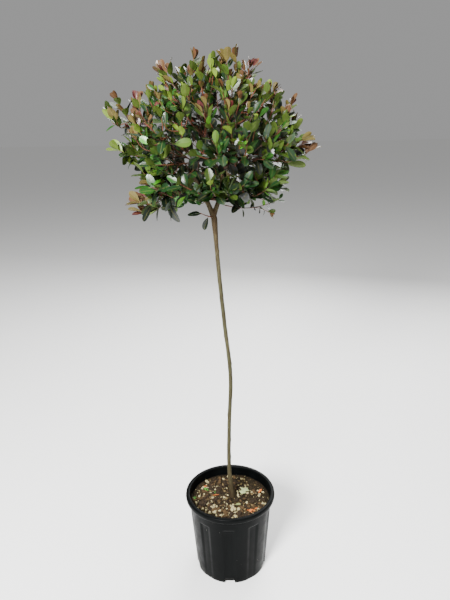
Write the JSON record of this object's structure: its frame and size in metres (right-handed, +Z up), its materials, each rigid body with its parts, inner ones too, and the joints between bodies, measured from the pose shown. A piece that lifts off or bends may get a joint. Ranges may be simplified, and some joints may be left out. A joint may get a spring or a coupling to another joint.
{
  "type": "potted standard lollipop topiary",
  "caption": "Standard lollipop topiary: a loose round evergreen crown on one clear slender stem, in a round black fluted nursery pot filled with potting mix.",
  "frame": {"origin": "centre of the pot's flat underside, on the surface that it stands on", "axes": "+Z up along the pot's axis, -Y towards the front of the plant, +X to its right"},
  "size_m": [0.5672, 0.508, 1.6468],
  "materials": {
    "pot_plastic": "black moulded nursery pot plastic, satin, slightly scuffed",
    "potting_mix": "coarse bark potting mix with pale perlite and fallen leaves",
    "bark": "smooth grey-brown young bark, fine grain",
    "foliage": "glossy dark green evergreen leaves, lime to bronze at the tips"
  },
  "bodies": {
    "root": {"pot": "pot_plastic", "potting_mix": "potting_mix", "trunk": "bark", "limb_left": "bark", "limb_right": "bark", "bough_lower_1": "bark", "bough_lower_2": "bark", "bough_lower_3": "bark", "bough_lower_4": "bark", "bough_lower_5": "bark", "bough_lower_6": "bark", "bough_middle_1": "bark", "bough_middle_2": "bark", "bough_middle_3": "bark", "bough_middle_4": "bark", "bough_middle_5": "bark", "bough_middle_6": "bark", "bough_middle_7": "bark", "bough_upper_1": "bark", "bough_upper_2": "bark", "bough_upper_3": "bark", "bough_upper_4": "bark", "bough_top": "bark", "foliage_lower_1": "foliage", "foliage_lower_2": "foliage", "foliage_lower_3": "foliage", "foliage_lower_4": "foliage", "foliage_lower_5": "foliage", "foliage_lower_6": "foliage", "foliage_middle_1": "foliage", "foliage_middle_2": "foliage", "foliage_middle_3": "foliage", "foliage_middle_4": "foliage", "foliage_middle_5": "foliage", "foliage_middle_6": "foliage", "foliage_middle_7": "foliage", "foliage_upper_1": "foliage", "foliage_upper_2": "foliage", "foliage_upper_3": "foliage", "foliage_upper_4": "foliage", "foliage_top": "foliage", "foliage_low_spray": "foliage"}
  },
  "joints": []
}
